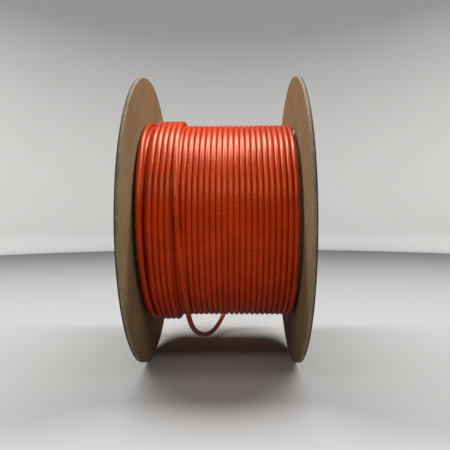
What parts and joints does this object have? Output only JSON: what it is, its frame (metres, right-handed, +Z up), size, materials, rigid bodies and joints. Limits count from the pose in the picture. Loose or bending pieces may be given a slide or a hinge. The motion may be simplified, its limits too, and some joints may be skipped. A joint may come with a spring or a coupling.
{
  "type": "fiber optic patch cord",
  "caption": "Simplex fiber optic patch cord wound on a flanged fibreboard reel, with a push-pull plug, sprung ferrule, strain relief boot and dust cap at each end.",
  "frame": {"origin": "middle of the reel's arbor axis, halfway between the flanges", "axes": "+X along the reel's axis, +Z up, -Y towards the front"},
  "size_m": [0.1013, 0.165, 0.1648],
  "materials": {
    "jacket": "extruded orange PVC, satin gloss",
    "fibreboard": "kraft-brown pressed fibreboard, paler cut edge",
    "paper_tube": "spiral-wound kraft paper",
    "hardboard": "smooth brown hardboard",
    "paper_tape": "kraft paper tape",
    "zinc_steel": "bright zinc plate",
    "aramid": "straw-yellow filament yarn",
    "buffer": "tight orange buffer",
    "glass": "clear silica",
    "ceramic": "polished white zirconia",
    "nickel": "nickel-plated brass",
    "spring_steel": "drawn stainless wire",
    "plug_plastic": "moulded beige plastic",
    "boot_rubber": "soft beige moulding",
    "cap_plastic": "soft translucent white moulding"
  },
  "bodies": {
    "reel": {"cord_jacket": "jacket", "left_flange": "fibreboard", "right_flange": "fibreboard", "core_tube": "paper_tube", "left_end_plug": "hardboard", "right_end_plug": "hardboard", "tie_rods": "zinc_steel", "tie_rod_washers": "zinc_steel", "tie_rod_nuts": "zinc_steel", "lead_tape": "paper_tape", "outer_aramid_yarn": "aramid", "outer_ferrule_spring": "spring_steel", "outer_plug_frame": "plug_plastic", "outer_stop_body": "nickel", "outer_crimp_ring": "nickel", "outer_boot": "boot_rubber", "lead_aramid_yarn": "aramid", "lead_ferrule_spring": "spring_steel", "lead_plug_frame": "plug_plastic", "lead_stop_body": "nickel", "lead_crimp_ring": "nickel", "lead_boot": "boot_rubber"},
    "outer_ferrule_unit": {"outer_ferrule": "ceramic", "outer_ferrule_holder": "nickel", "outer_fiber_buffer": "buffer", "outer_glass_fiber": "glass"},
    "outer_grip": {"outer_grip": "plug_plastic"},
    "outer_dust_cap": {"outer_dust_cap": "cap_plastic"},
    "lead_ferrule_unit": {"lead_ferrule": "ceramic", "lead_ferrule_holder": "nickel", "lead_fiber_buffer": "buffer", "lead_glass_fiber": "glass"},
    "lead_grip": {"lead_grip": "plug_plastic"},
    "lead_dust_cap": {"lead_dust_cap": "cap_plastic"}
  },
  "joints": [
    {"name": "outer_ferrule_float", "type": "slide", "parent": "reel", "child": "outer_ferrule_unit", "axis": [0, 0, 1], "range_m": [-0.0012, 0], "stiffness_N_per_m": 2500, "springref_m": 0.002, "deforming": ["outer_ferrule_spring"]},
    {"name": "outer_grip_slide", "type": "slide", "parent": "reel", "child": "outer_grip", "axis": [0, 0, 1], "range_m": [-0.0016, 0]},
    {"name": "outer_cap_pull", "type": "slide", "parent": "reel", "child": "outer_dust_cap", "axis": [0, 0, 1], "range_m": [0, 0.03]},
    {"name": "lead_ferrule_float", "type": "slide", "parent": "reel", "child": "lead_ferrule_unit", "axis": [0, 0, -1], "range_m": [-0.0012, 0], "stiffness_N_per_m": 2500, "springref_m": 0.002, "deforming": ["lead_ferrule_spring"]},
    {"name": "lead_grip_slide", "type": "slide", "parent": "reel", "child": "lead_grip", "axis": [0, 0, -1], "range_m": [-0.0016, 0]},
    {"name": "lead_cap_pull", "type": "slide", "parent": "reel", "child": "lead_dust_cap", "axis": [0, 0, -1], "range_m": [0, 0.03]}
  ]
}
